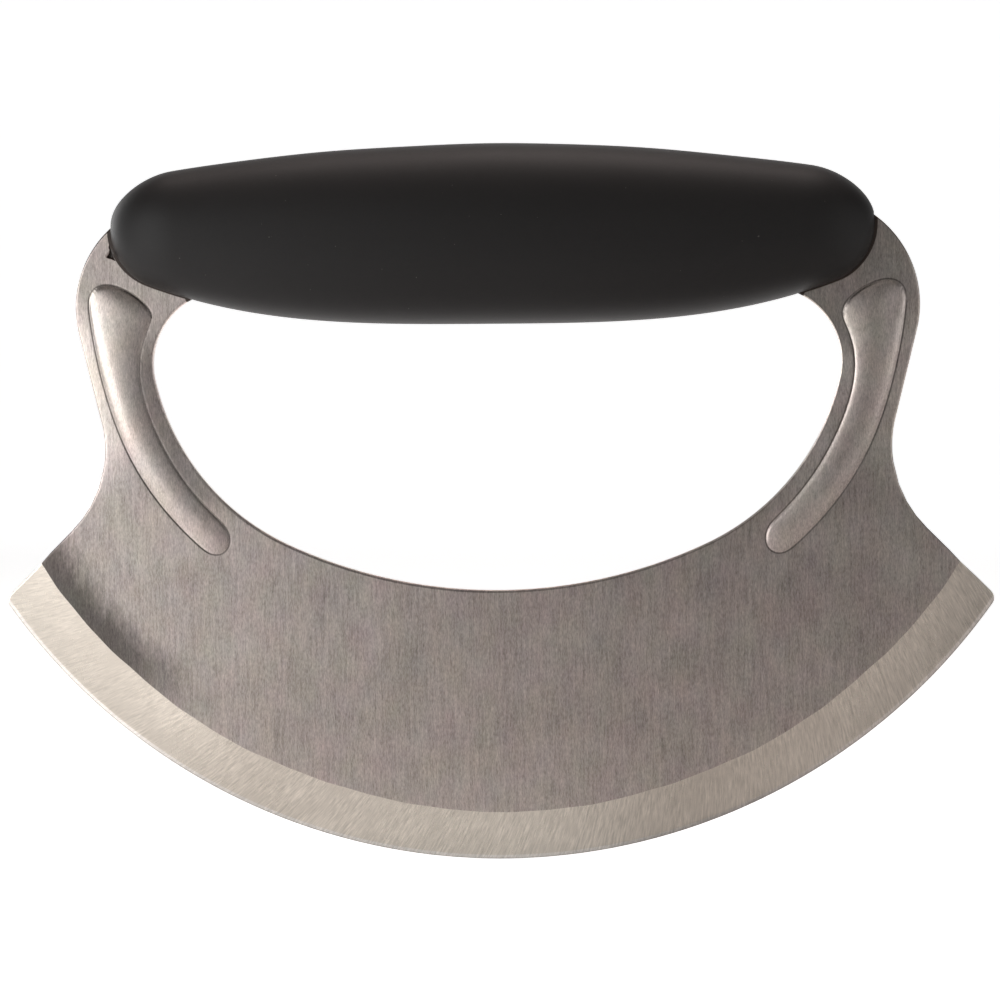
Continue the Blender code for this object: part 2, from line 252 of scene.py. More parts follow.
tip_x = HALF_SPAN - TIP_RADIUS
tip_z = EDGE_RADIUS - math.sqrt((EDGE_RADIUS - TIP_RADIUS) ** 2 - tip_x ** 2)
end_line = tip_x + tip_z + TIP_RADIUS * math.sqrt(2)
waist_x = HALF_WAIST + WAIST_RADIUS
waist_z = end_line + WAIST_RADIUS * math.sqrt(2) - waist_x
shoulder_x = HALF_SHOULDER - SHOULDER_RADIUS
shoulder_z = BAR_TOP - SHOULDER_RADIUS
arm_run = (shoulder_x - waist_x, shoulder_z - waist_z)
arm_cross = math.asin((WAIST_RADIUS + SHOULDER_RADIUS) / math.hypot(*arm_run))
arm_angle = 90 - math.degrees(math.atan2(arm_run[1], arm_run[0]) - arm_cross)
tip_start = math.degrees(math.atan2(tip_z - EDGE_RADIUS, tip_x))
side_path = join(arc((tip_x, tip_z), TIP_RADIUS, tip_start, 45),
                 arc((waist_x, waist_z), WAIST_RADIUS, 225, 180 - arm_angle),
                 arc((shoulder_x, shoulder_z), SHOULDER_RADIUS, -arm_angle, 90),
                 [(0, BAR_TOP)])

bottom_z = OPENING_BOTTOM + OPENING_RADIUS
side_z = bottom_z - math.sqrt((OPENING_RADIUS - SIDE_RADIUS) ** 2 - SIDE_OFFSET ** 2)
corner_x = HALF_OPENING - CORNER_RADIUS
corner_z = side_z - math.sqrt((SIDE_RADIUS - CORNER_RADIUS) ** 2 - (corner_x - SIDE_OFFSET) ** 2)
to_side = math.degrees(math.atan2(side_z - bottom_z, SIDE_OFFSET))
to_corner = math.degrees(math.atan2(corner_z - side_z, corner_x - SIDE_OFFSET))
opening_path = join(arc((0, bottom_z), OPENING_RADIUS, -90, to_side),
                    arc((SIDE_OFFSET, side_z), SIDE_RADIUS, to_side, to_corner),
                    arc((corner_x, corner_z), CORNER_RADIUS, to_corner, 90),
                    [(0, corner_z + CORNER_RADIUS)])


def polar(points):
    """Radius and angle in degrees of (x, z) points about the centre of the edge's arc."""
    run = points - np.array([0, EDGE_RADIUS])
    return np.hypot(run[..., 0], run[..., 1]), np.degrees(np.arctan2(run[..., 1], run[..., 0]))


def from_polar(radius, angle):
    """Points (x, z) at a radius and an angle in degrees about the centre of the edge's arc."""
    turn = np.radians(angle)
    return np.stack([radius * np.cos(turn), EDGE_RADIUS + radius * np.sin(turn)], -1)


side_radius, side_angle = polar(side_path)
waist_index = int(np.argmax(side_radius < JOIN_RADIUS))


def plate_columns():
    """Feet and heads of the columns that cross the loop on its right half, from the
    bottom middle to the top middle. Up to the waist they are spokes of the edge's arc,
    from the opening to JOIN_RADIUS. Beyond it both ends walk their outlines at equal
    shares of length. Returns both ends, their outward normals and the count of spokes."""
    waist_angle = side_angle[waist_index]
    waist_share = waist_index / (len(side_path) - 1)
    open_angle = polar(opening_path)[1]
    turning = int(np.argmax(open_angle > waist_angle))
    turn_share = turning / (len(opening_path) - 1)
    close = np.array([0.45, 0.32, 0.2, 0.1, 0.03, 0]) * MM / JOIN_RADIUS
    spokes = clustered(-90, waist_angle - math.degrees(close[0]) * 1.2,
                       ((0, 1.0), (0.62, 0.8), (0.665, 0.16), (0.75, 0.16), (0.8, 0.4), (1, 0.35)))
    spokes = np.r_[spokes, waist_angle - np.degrees(close[1:]) * 1.1]
    share = np.interp(spokes, open_angle[:turning + 2], np.arange(turning + 2) / (len(opening_path) - 1))
    heads = from_polar(JOIN_RADIUS, spokes)
    head_out = heads - np.array([0, EDGE_RADIUS])
    head_out /= np.linalg.norm(head_out, axis=1, keepdims=True)
    corner_end = 1 - corner_x / (OUTLINE_STEP * (len(opening_path) - 1))
    shoulder_end = 1 - shoulder_x / (OUTLINE_STEP * (len(side_path) - 1))
    walk = clustered(0, 1, ((0, 0.008), (0.36, 0.008), (0.44, 0.0042), (0.56, 0.0042),
                            (0.60, 0.0026), (0.76, 0.0026), (0.80, 0.02), (1, 0.03)))[1:]
    over = np.linspace(0, 1, 22)[1:]
    foot_share = np.r_[share, turn_share + (corner_end - turn_share) * walk,
                       corner_end + (1 - corner_end) * over]
    head_share = np.r_[waist_share + (shoulder_end - waist_share) * walk,
                       shoulder_end + (1 - shoulder_end) * over]
    heads = np.vstack([heads, at(side_path, head_share)])
    head_out = np.vstack([head_out, outward(side_path, head_share)])
    return at(opening_path, foot_share), heads, outward(opening_path, foot_share), head_out, len(spokes)


def bezier(points, t):
    """Points at t of the curve that the given points, in mm, pull on: each pass takes
    the points' neighbours in pairs and goes from one to the next by the share t, until
    one is left."""
    row = [np.array(point) * MM for point in points]
    t = np.asarray(t)[:, None]
    while len(row) > 1:
        row = [a + (b - a) * t for a, b in zip(row, row[1:])]
    return row[0]


def rib_end_rounding(t):
    """The square of the share of its width that the rib keeps at t: 1 - u^p near each
    end, with u the distance into the end's stretch. It is negative beyond the ends."""
    top = 1 - np.maximum(1 - t / RIB_TOP_ROUND, 0) ** RIB_TOP_POWER
    low = 1 - np.maximum(1 - (1 - t) / RIB_LOW_ROUND, 0) ** RIB_LOW_POWER
    return np.minimum(top, low)


def crossing(feet, heads, curve):
    """How far along each column, as a share of it, a curve crosses it. A column that
    the curve misses takes the value of the nearest one that it crosses."""
    run = heads - feet
    rel = curve[None] - feet[:, None]
    side = run[:, None, 0] * rel[..., 1] - run[:, None, 1] * rel[..., 0]
    along = (rel * run[:, None]).sum(-1) / (run ** 2).sum(-1)[:, None]
    change = (side[:, 1:] * side[:, :-1] <= 0) & (along[:, 1:] > 0) & (along[:, 1:] < 1)
    first = change.argmax(1)
    row = np.arange(len(feet))
    a = side[row, first]
    b = side[row, first + 1]
    part = a / np.where(a == b, 1, a - b)
    share = along[row, first] + part * (along[row, first + 1] - along[row, first])
    hit = change.any(1)
    return np.interp(row, row[hit], share[hit])


def rib_foot_line():
    """The closed foot line: the two sides drawn in towards their middle by the end
    rounding, at even steps, with its corners smoothed by a bell-shaped running mean."""
    fine = (1 - np.cos(np.pi * np.linspace(0, 1, 241))) / 2
    keep = np.sqrt(np.maximum(rib_end_rounding(fine), 0))[:, None]
    right = bezier(RIB_OUTER, fine)
    left = bezier(RIB_INNER, fine)
    middle = (right + left) / 2
    half = (right - left) / 2 * keep
    loop = np.vstack([middle + half, (middle - half)[-2::-1]])
    along = np.r_[0, np.cumsum(np.linalg.norm(np.diff(loop, axis=0), axis=1))]
    count = 480
    even = along[-1] * np.arange(count) / count
    loop = np.stack([np.interp(even, along, loop[:, k]) for k in (0, 1)], 1)
    span = np.arange(-24, 25)
    bell = np.exp(-(span * along[-1] / count / RIB_CORNER_SMOOTH) ** 2 / 2)
    turns = (np.arange(count)[:, None] + span) % count
    return (loop[turns] * bell[:, None]).sum(1) / bell.sum()


def within(points, loop):
    """Whether points lie within a closed loop: an odd number of its pieces meet the
    level line that runs off to the right."""
    ahead = np.roll(loop, -1, 0)
    x, z = points[:, :1], points[:, 1:]
    spans = (loop[:, 1] > z) != (ahead[:, 1] > z)
    climb = np.where(ahead[:, 1] == loop[:, 1], 1, ahead[:, 1] - loop[:, 1])
    meet = loop[:, 0] + (z - loop[:, 1]) * (ahead[:, 0] - loop[:, 0]) / climb
    return (spans & (meet > x)).sum(1) % 2 == 1


def loop_distance(points, loop):
    """The least distance from points to the straight pieces of a closed loop."""
    run = np.roll(loop, -1, 0) - loop
    rel = points[:, None] - loop[None]
    nearest = np.clip((rel * run).sum(-1) / np.maximum((run ** 2).sum(-1), 1e-18), 0, 1)
    return np.sqrt(((rel - nearest[..., None] * run) ** 2).sum(-1)).min(1)


def arm_ease(points, heights):
    """A share eased in between the first two heights and out between the last two."""
    low, full, still, high = heights
    return smooth_step(points[:, 1], low, full) * smooth_step(-points[:, 1], -high, -still)


def rib_fields(points, to_opening):
    """Signed distance from the rib's foot line, positive inside, the dome's share of its
    height, and the shoulder. The dome is the rib's end rounding at the point's station
    less the square of its share across the rib, run out over a fillet at the foot. The
    shoulder rises evenly from the opening's edge to the foot, and inside the rib it
    falls as the square of the share, to nothing at the rib's middle."""
    t = np.linspace(-0.05, 1.05, 261)
    outer = bezier(RIB_OUTER, t)
    inner = bezier(RIB_INNER, t)
    across = outer - inner
    rel = points[:, None] - inner[None]
    side = rel[..., 0] * across[:, 1] - rel[..., 1] * across[:, 0]
    change = side[:, 1:] * side[:, :-1] <= 0
    k = change.argmax(1)
    row = np.arange(len(points))
    part = side[row, k] / (side[row, k] - side[row, k + 1])
    station = t[k] + part * (t[1] - t[0])
    base = inner[k] + part[:, None] * (inner[k + 1] - inner[k])
    width = across[k] + part[:, None] * (across[k + 1] - across[k])
    share = 2 * ((points - base) * width).sum(1) / (width ** 2).sum(1) - 1
    dome = np.where(change.any(1), rib_end_rounding(station) - share ** 2, -1)
    low = np.sqrt(np.clip((1 - station) / RIB_LOW_SLOPE, 0, 1))
    loop = rib_foot_line()
    distance = np.where(within(points, loop), 1, -1) * loop_distance(points, loop)
    fillet = np.clip(distance / RIB_FILLET, 0, 1)
    fillet = fillet * (2 - fillet)
    strip = np.maximum(to_opening - (1 + share) * np.linalg.norm(width, axis=1) / 2, 0)
    shoulder = np.where(share < -1, to_opening, strip * np.clip(-share, 0, 1) ** 2)
    shoulder = np.where(change.any(1), shoulder, 0) * arm_ease(points, SHOULDER_HEIGHTS)
    return distance, np.clip(dome, 0, 1) * low * fillet, SHOULDER_SLOPE * shoulder


def rib_rise(distance, dome):
    """Height of the rib: a small smooth step up at its foot line, then the dome."""
    return RIB_LIP * smooth_step(distance, 0, RIB_LIP_WIDTH) + (RIB_HEIGHT - RIB_LIP) * dome


def arm_lean(points, to_side_edge):
    """How far the press has drawn the arm's outer strip back: a power curve of the
    distance from the plate's side."""
    lean = np.clip(1 - to_side_edge / ARM_LEAN_WIDTH, 0, 1) ** ARM_LEAN_POWER
    return ARM_LEAN_DROP * lean * arm_ease(points, ARM_LEAN_HEIGHTS)


def grind_line(angle, side):
    """Radius of the line where the bevel starts on the right (side 1) or left (-1), with
    the small waves of grinding by hand: a sum of sines of the angle. The bevel widens
    at the tips as a power of the way there, and by a smooth step to each side."""
    turn = np.radians(angle)
    waves = sum(size * np.sin(count * turn + shift) for size, count, shift in GRIND_WAVES)
    flare = GRIND_FLARE * np.clip((angle + 90) / GRIND_TIP, 0, 1) ** GRIND_FLARE_POWER
    wider = (GRIND_LEFT if side < 0 else GRIND_RIGHT) * smooth_step(angle + 90, 0, GRIND_SIDE_TURN)
    return EDGE_RADIUS - BEVEL_WIDTH + waves - flare - wider


def half_thickness(radius, angle, side):
    """Half the sheet, which rolls off a little before the grind line, then a shallow
    hollow down the bevel and a straight line down the small edge bevel. The hollow is
    s(1 + k) - k s^2, with s the share of the bevel's width and k BEVEL_HOLLOW."""
    grind = grind_line(angle, side)
    micro = EDGE_RADIUS - MICRO_WIDTH
    roll = ROLL_DROP * np.clip((radius - grind) / ROLL_WIDTH + 1, 0, 1) ** 2
    share = np.clip((radius - grind) / (micro - grind), 0, 1)
    bevel = share * (1 + BEVEL_HOLLOW) - BEVEL_HOLLOW * share ** 2
    edge = np.clip((radius - micro) / MICRO_WIDTH, 0, 1)
    ground = (SHEET / 2 - roll) + (BEVEL_EDGE / 2 - SHEET / 2 + roll) * bevel
    return ground + (EDGE_LAND - BEVEL_EDGE) / 2 * edge


def side_distance(points):
    """Distance inside the plate's outer side, on the right: from the tip's arc, the
    straight end, the waist's arc, the straight arm, or the shoulder and the bar's top."""
    x = points[..., 0]
    z = points[..., 1]
    lean = math.radians(arm_angle)
    end_top = tip_z + TIP_RADIUS / math.sqrt(2)
    waist_start = waist_z - WAIST_RADIUS / math.sqrt(2)
    waist_end = waist_z + WAIST_RADIUS * math.sin(lean)
    arm_end = shoulder_z - SHOULDER_RADIUS * math.sin(lean)
    arm = SHOULDER_RADIUS - (x - shoulder_x) * math.cos(lean) + (z - shoulder_z) * math.sin(lean)
    straight = (end_line - x - z) / math.sqrt(2)
    tip = TIP_RADIUS - np.hypot(x - tip_x, z - tip_z)
    waist = np.hypot(x - waist_x, z - waist_z) - WAIST_RADIUS
    shoulder = SHOULDER_RADIUS - np.hypot(x - shoulder_x, z - shoulder_z)
    shoulder = np.where(x > shoulder_x, shoulder, BAR_TOP - z)
    low = np.where((z < end_top) & (x > tip_x), tip, straight)
    return np.select([z < waist_start, z < waist_end, z < arm_end], [low, waist, arm], shoulder)


def opening_distance(points):
    """Distance outside the finger opening's outline, on the right, from whichever of
    its arcs or its straight top faces the point."""
    x = points[..., 0]
    z = points[..., 1]
    bottom = np.hypot(x, z - bottom_z) - OPENING_RADIUS
    side = np.hypot(x - SIDE_OFFSET, z - side_z) - SIDE_RADIUS
    corner = np.hypot(x - corner_x, z - corner_z) - CORNER_RADIUS
    to_low = np.degrees(np.arctan2(z - bottom_z, x)) < to_side
    to_high = np.degrees(np.arctan2(z - side_z, x - SIDE_OFFSET)) < to_corner
    top = np.where((x < corner_x) & (z > corner_z), z - corner_z - CORNER_RADIUS, corner)
    return np.where(to_low & (z < side_z), bottom, np.where(to_high & (z < corner_z), side, top))


def end_round(x, start, end, power):
    """1 up to start, then (1 - u^p)^(1/p), which falls to 0 at end."""
    u = np.clip((np.abs(x) - start) / (end - start), 0, 1)
    return (1 - u ** power) ** (1 / power)


def grip_outline(x, half_length, inset):
    """Heights of the grip's crown and belly over its ends' height, at x: an arc of
    CROWN_RADIUS above and a power curve below, rounded off towards the ends."""
    crown = GRIP_TOP - x ** 2 / (2 * CROWN_RADIUS) - inset - GRIP_END_HEIGHT
    belly = GRIP_BOTTOM + BELLY_RISE * (np.abs(x) / BELLY_AT) ** BELLY_POWER + inset - GRIP_END_HEIGHT
    crown = crown * end_round(x, CROWN_ROUND, half_length, CROWN_POWER)
    belly = belly * end_round(x, BELLY_ROUND, half_length, BELLY_END_POWER)
    return crown, belly


def grip_distance(points):
    """Distance outside the grip's outline as seen from the front, negative inside it:
    the least distance to the outline's short straight pieces, on one half of it."""
    middle = (GRIP_LEFT_END + GRIP_RIGHT_END) / 2
    points = np.stack([np.abs(points[:, 0] - middle), points[:, 1] - GRIP_END_HEIGHT], 1)
    x = GRIP_HALF_LENGTH * np.sin(np.linspace(0, np.pi / 2, 160))
    crown, belly = grip_outline(x, GRIP_HALF_LENGTH, 0)
    line = np.vstack([np.stack([x, belly], 1), np.stack([x, crown], 1)[-2::-1]])
    return np.where(within(points, line), -1, 1) * loop_distance(points, line)


def eased(distance, size):
    """The drop of an edge's quarter circle of the given size at a distance in from it."""
    q = np.clip(1 - distance / size, 0, 1)
    return size * (1 - np.sqrt(1 - q ** 2))


def make_plate():
    """The plate as one closed mesh. A strip of columns goes round the loop, with rows
    close together at its edges and the rib's foot lines. A polar patch fills the
    crescent beyond JOIN_RADIUS, with rows that follow the grind line. Both are laid once
    on the front and once on the rear, and walls close the opening and the outside."""
    feet, heads, foot_out, head_out, spokes = plate_columns()
    run = heads - feet
    length = np.linalg.norm(run, axis=1)
    unit = run / length[:, None]
    foot_slant = np.clip((unit * foot_out).sum(1), 0.5, 1)
    head_slant = np.clip((unit * head_out).sum(1), 0.5, 1)
    inner_foot, outer_foot = (crossing(feet, heads, bezier(curve, np.linspace(0, 1, 400))) * length
                              for curve in (RIB_INNER, RIB_OUTER))
    near_foot = np.array([-0.45, -0.26, -0.14, -0.06, 0.02, 0.12, 0.3]) * MM
    feet_rows = np.array([0, 0.03, 0.1, 0.22, 0.38, 0.6]) * MM
    head_rows = np.array([0.4, 0.28, 0.16, 0.07, 0.02, 0]) * MM
    even = lambda start, end, count: start + (end - start) * np.linspace(0, 1, count + 2)[1:-1, None]
    a = feet_rows[:, None] / foot_slant
    b = inner_foot + near_foot[:, None]
    c = outer_foot - near_foot[::-1, None]
    d = length - head_rows[:, None] / head_slant
    rows = np.vstack([a, even(a[-1], b[0], 5), b, even(b[-1], c[0], 26), c, even(c[-1], d[0], 5), d])
    strip = feet + unit * rows[..., None]

    stop = waist_index + 1
    micro = EDGE_RADIUS - MICRO_WIDTH
    grind = EDGE_RADIUS - BEVEL_WIDTH
    level = np.r_[np.linspace(JOIN_RADIUS, grind - CREASE_CLEAR, 8)[1:],
                  grind - GRIND_CREASE, grind + GRIND_CREASE,
                  np.linspace(grind + CREASE_CLEAR, EDGE_RADIUS - TIP_RADIUS, 6),
                  micro - CREASE_CLEAR, micro - GRIND_CREASE, micro + GRIND_CREASE,
                  EDGE_RADIUS - np.array([0.5, 0.3, 0.15, 0.06, 0]) * MM]
    order = np.argsort(side_radius[:stop])
    reach = np.interp(level, side_radius[:stop][order], side_angle[:stop][order]) + 90
    spoke_angle = polar(heads[:spokes])[1] + 90
    to_waist = spoke_angle[-1] - spoke_angle
    slope = np.radians(np.gradient(reach, level)) * level
    widen = np.sqrt(1 + np.clip(slope, -STEEPEST, STEEPEST) ** 2)
    angle = np.where(to_waist < RIM_BAND, reach[:, None] - to_waist * widen[:, None],
                     reach[:, None] * (spoke_angle / spoke_angle[-1])) - 90
    near_grind = np.clip(1 - np.abs(level[:, None] - grind) / GRIND_BLEND, 0, 1)
    crescents = [from_polar(level[:, None] + (grind_line(angle, side) - grind) * near_grind, angle)
                 for side in (1, -1)]

    def surfaces(points, side):
        """Front and rear distance from the middle of the sheet, and the distances that
        the finish follows: from the foot line, the grind line and the opening's edge."""
        shape = points.shape[:-1]
        flat = points.reshape(-1, 2)
        r, turn = polar(flat)
        half = half_thickness(r, turn, side)
        to_side_edge = side_distance(flat)
        to_opening = opening_distance(flat)
        foot = np.full(len(flat), -FAR)
        dome = np.zeros(len(flat))
        near = (flat[:, 0] > RIB_FIELD[0]) & (flat[:, 1] > RIB_FIELD[1]) & (flat[:, 1] < RIB_FIELD[2])
        near &= r < JOIN_RADIUS
        bend = arm_lean(flat, to_side_edge)
        foot[near], dome[near], shoulder = rib_fields(flat[near], to_opening[near])
        bend[near] -= shoulder
        front_round = FRONT_EDGE_ROUND * np.interp(flat[:, 1], ARM_ROUND_HEIGHTS, (1, ARM_ROUND_SHARE))
        groove = RIB_GROOVE * np.exp(-((foot - RIB_GROOVE_AT) / RIB_GROOVE_WIDTH) ** 2)
        limit = np.minimum(SIDE_EDGE_ROUND, 0.7 * half) / SIDE_EDGE_ROUND
        front = half - eased(to_side_edge, SIDE_EDGE_ROUND) * limit - eased(to_opening, front_round)
        front = front + rib_rise(foot, dome) - groove - bend
        rear = half - eased(to_side_edge, REAR_EDGE_ROUND) * limit - eased(to_opening, REAR_EDGE_ROUND)
        sunk = np.clip((dome - RIB_REAR_SHARE) / (1 - RIB_REAR_SHARE), 0, 1)
        rear = rear - rib_rise(foot - RIB_REAR_INSET, sunk * (foot > RIB_REAR_INSET)) + bend
        ground = r - grind_line(turn, side)
        return [v.reshape(shape) for v in (front, rear, foot, ground, to_opening)]

    def both_halves(right, left, closed):
        """The right-hand grid and the mirrored left-hand one as one: round the loop and
        back to the bottom middle if closed, or else from the left end to the right."""
        if left.ndim == 3:
            left = left * np.array([-1, 1])
        if closed:
            return np.concatenate([right, left[:, -2:0:-1]], 1)
        return np.concatenate([left[:, :0:-1], right], 1)

    strip_values = [both_halves(v, v, True) for v in surfaces(strip, 1)]
    strip_points = both_halves(strip, strip, True)
    crescent_values = [both_halves(right, left, False)
                       for right, left in zip(surfaces(crescents[0], 1), surfaces(crescents[1], -1))]
    crescent_points = both_halves(*crescents, False)
    rows_count, around = strip_points.shape[:2]
    lows, wide = crescent_points.shape[:2]
    points = np.vstack([strip_points.reshape(-1, 2), crescent_points.reshape(-1, 2)])
    front, rear, foot, ground, rim = [np.r_[above.ravel(), below.ravel()]
                                      for above, below in zip(strip_values, crescent_values)]
    total = len(points)
    seam = np.full(total, FAR)
    high = points[:, 1] > SEAM_FROM
    seam[high] = grip_distance(points[high])

    index = np.arange(rows_count * around).reshape(rows_count, around)
    following = np.roll(index, -1, 1)
    strip_quads = np.stack([index[:-1], following[:-1], following[1:], index[1:]], -1).reshape(-1, 4)
    shared = np.r_[index[-1, around - spokes + 1:], index[-1, :spokes]]
    low_index = np.vstack([shared, rows_count * around + np.arange(lows * wide).reshape(lows, wide)])
    low_quads = np.stack([low_index[:-1, :-1], low_index[:-1, 1:],
                          low_index[1:, 1:], low_index[1:, :-1]], -1).reshape(-1, 4)
    quads = np.vstack([strip_quads, low_quads])
    outside = np.r_[index[-1, spokes - 1:around - spokes + 2], low_index[1:, 0], low_index[-1, 1:],
                    low_index[-2:0:-1, -1]]
    walls = []
    for loop, turn in ((outside, 1), (index[0], -1)):
        ahead = np.roll(loop, turn)
        walls.append(np.stack([loop, ahead, ahead + total, loop + total], -1))
    faces = np.vstack([quads[:, ::-1], quads + total, *walls])
    x = np.clip(points[:, 0], cad_box[0][0], cad_box[1][0])
    places = np.vstack([np.stack([x, -front, points[:, 1]], 1), np.stack([x, rear, points[:, 1]], 1)])
    marks = {"foot": np.r_[foot, foot - RIB_REAR_INSET], "ground": np.r_[ground, ground],
             "rim": np.r_[rim, rim], "seam": np.r_[seam, seam]}
    return places, faces, marks


def add_mesh(name, places, faces, marks=()):
    """Link a piece made of places (n by 3) and faces (quads, or triangles whose last
    index repeats), smooth, with its named values kept on its points."""
    mesh = bpy.data.meshes.new(name)
    sides = np.where(faces[:, 2] == faces[:, 3], 3, 4)
    mesh.vertices.add(len(places))
    mesh.vertices.foreach_set("co", places.astype(np.float32).ravel())
    mesh.loops.add(int(sides.sum()))
    mesh.loops.foreach_set("vertex_index", faces[np.arange(4) < sides[:, None]].astype(np.int32))
    mesh.polygons.add(len(faces))
    mesh.polygons.foreach_set("loop_start", np.r_[0, np.cumsum(sides)[:-1]].astype(np.int32))
    mesh.update(calc_edges=True)
    mesh.validate()
    mesh.shade_smooth()
    for key, values in dict(marks).items():
        mesh.attributes.new(key, "FLOAT", "POINT").data.foreach_set("value", values.astype(np.float32))
    piece = bpy.data.objects.new(name, mesh)
    bpy.context.scene.collection.objects.link(piece)
    return piece


def facing_out(places, faces):
    """The faces of a closed mesh, turned round if the volume that they sign, the sum
    of corner . (corner x corner) / 6 over its triangles, comes out negative."""
    a, b, c, d = (places[faces[:, k]] for k in range(4))
    volume = (a * np.cross(b, c)).sum() + (a * np.cross(c, d)).sum()
    if volume > 0:
        return faces
    return np.where((faces[:, 2] == faces[:, 3])[:, None], faces[:, [1, 0, 2, 3]], faces[:, ::-1])


def cut(piece, *tools):
    """Cut closed meshes out of a piece, keep the result as its mesh, and drop the tools."""
    for tool in tools:
        step = piece.modifiers.new(tool.name, "BOOLEAN")
        step.solver = "EXACT"
        step.object = tool
    graph = bpy.context.evaluated_depsgraph_get()
    finished = bpy.data.meshes.new_from_object(piece.evaluated_get(graph), depsgraph=graph,
                                               preserve_all_data_layers=True)
    piece.modifiers.clear()
    piece.data = finished
    for tool in tools:
        bpy.data.objects.remove(tool)


def bar(name, ring, start, end):
    """A closed bar along Y over a ring of points (x, z), with a fan over each end."""
    count = len(ring)
    section = np.vstack([ring, np.mean(ring, 0)])
    places = np.vstack([np.insert(section, 1, y, axis=1) for y in (start, end)])
    k = np.arange(count)
    ahead = np.roll(k, -1)
    middle = np.full(count, count)
    rear = count + 1
    faces = np.vstack([np.stack([k, ahead, ahead + rear, k + rear], 1),
                       np.stack([ahead, k, middle, middle], 1),
                       np.stack([k + rear, ahead + rear, middle + rear, middle + rear], 1)])
    return add_mesh(name, places, facing_out(places, faces))


blade_plate = add_mesh("stamped_blade_plate", *make_plate())
turn = np.linspace(0, 2 * np.pi, 48, endpoint=False)
circle = RIVET_HOLE * np.stack([np.cos(turn), np.sin(turn)], 1)
cut(blade_plate,
    *[bar("nick", np.array(corners) * MM, -SHEET, NICK_DEPTH - SHEET / 2) for corners in NICK],
    *[bar("rivet_hole", circle + (x, RIVET_Z), -SHEET, SHEET) for x in RIVET_X])


class Field:
    """A value over a surface: one output socket in a material's nodes. Arithmetic adds
    Math nodes, and node() adds any other."""

    def __init__(self, tree, socket=None):
        self.tree = tree
        self.socket = socket

    def node(self, kind, settings=(), inputs=(), output=0):
        """Add a node: its settings first, then a value or a link for each input, by
        name or number."""
        made = self.tree.nodes.new("ShaderNode" + kind)
        for key, value in dict(settings).items():
            setattr(made, key, value)
        for key, value in dict(inputs).items():
            if isinstance(value, Field):
                self.tree.links.new(value.socket, made.inputs[key])
            else:
                made.inputs[key].default_value = value
        return Field(self.tree, made.outputs[output])

    def math(self, operation, *values):
        return self.node("Math", {"operation": operation}, dict(enumerate(values)))

    def out(self, name):
        """Another output of the same node."""
        return Field(self.tree, self.socket.node.outputs[name])

    def __add__(self, other):
        return self.math("ADD", self, other)

    def __sub__(self, other):
        return self.math("SUBTRACT", self, other)

    def __rsub__(self, other):
        return self.math("SUBTRACT", other, self)

    def __mul__(self, other):
        return self.math("MULTIPLY", self, other)

    def __pow__(self, other):
        return self.math("POWER", self, other)

    def __abs__(self):
        return self.math("ABSOLUTE", self)

    __radd__ = __add__
    __rmul__ = __mul__

    def rising(self, low, high):
        """0 below low, 1 above high, and a smooth step between; low may exceed high."""
        if low > high:
            return 1 - self.rising(high, low)
        return self.node("MapRange", {"interpolation_type": "SMOOTHSTEP"},
                         {"Value": self, "From Min": low, "From Max": high})

    def mix(self, first, second):
        """Colours mixed by this value."""
        return self.node("Mix", {"data_type": "RGBA"}, {0: self, 6: first, 7: second}, 2)

    def tinted(self, colour):
        """A colour scaled by this value."""
        return self.node("VectorMath", {"operation": "SCALE"}, {0: colour, "Scale": self})


class Finish:
    """A material with a Principled surface, whose constants are set on its sockets."""

    def __init__(self, name, **constants):
        self.material = bpy.data.materials.new(name)
        self.material.use_nodes = True
        tree = self.material.node_tree
        self.surface = tree.nodes["Principled BSDF"]
        self.start = Field(tree)
        self.set(**constants)

    def set(self, **values):
        """Set or link the surface's sockets, whose names here have _ for a space."""
        for key, value in values.items():
            socket = self.surface.inputs[key.replace("_", " ").title().replace("Ior", "IOR")]
            if isinstance(value, Field):
                self.start.tree.links.new(value.socket, socket)
            else:
                socket.default_value = value

    def place(self):
        """The object coordinates, in metres."""
        return self.start.node("TexCoord", output=3)

    def mark(self, name):
        """A value kept on the mesh's points."""
        return self.start.node("Attribute", {"attribute_name": name}, output=2)

    def noise(self, where, stretch, scale, detail, roughness, output=0):
        """Noise of about scale cells a metre, with each axis first multiplied by its stretch."""
        spread = self.start.node("Mapping", {}, {"Vector": where, "Scale": stretch})
        inputs = {"Vector": spread, "Scale": scale, "Detail": detail, "Roughness": roughness}
        return self.start.node("TexNoise", {}, inputs, output)

    def bump(self, height, distance, strength):
        """Normals bent by a height field."""
        return self.start.node("Bump", {}, {"Height": height, "Distance": distance, "Strength": strength})


STEEL_COLOUR = (0.447, 0.396, 0.366, 1)
GROUND_COLOUR = (0.645, 0.590, 0.520, 1)
EDGE_COLOUR = (0.72, 0.68, 0.64, 1)
# Colour of the painted shade in the gap to the grip and in the nick.
GAP_SHADE_COLOUR = (0.030, 0.017, 0.011, 1)
BEVEL_SLANT = 25
# Where a painted dark reflection darkens the front above the left end of the grind line.
DARK_REFLECTION_TURN = (-2.10, -2.36)
DARK_REFLECTION_RISE = (-10 * MM, -2 * MM)
DARK_REFLECTION_FEATHER = 5 * MM
DARK_REFLECTION_DEPTH = 0.72
# Where the painted shade lies in the groove round each rib.
CREASE_SHADE_AT = -0.16 * MM
# Where the painted dark reflection line lies inside the opening's edge.
EDGE_REFLECTION_AT = 0.44 * MM
# Width of the darker strip at the cutting edge.
DARK_EDGE_WIDTH = 0.25 * MM
# Widths of the painted shade along the gap to the grip.
GAP_SHADE_WIDTH = 0.14 * MM
GAP_SHADE_LEFT = 0.16 * MM
GAP_SHADE_CORNER = 0.5 * MM


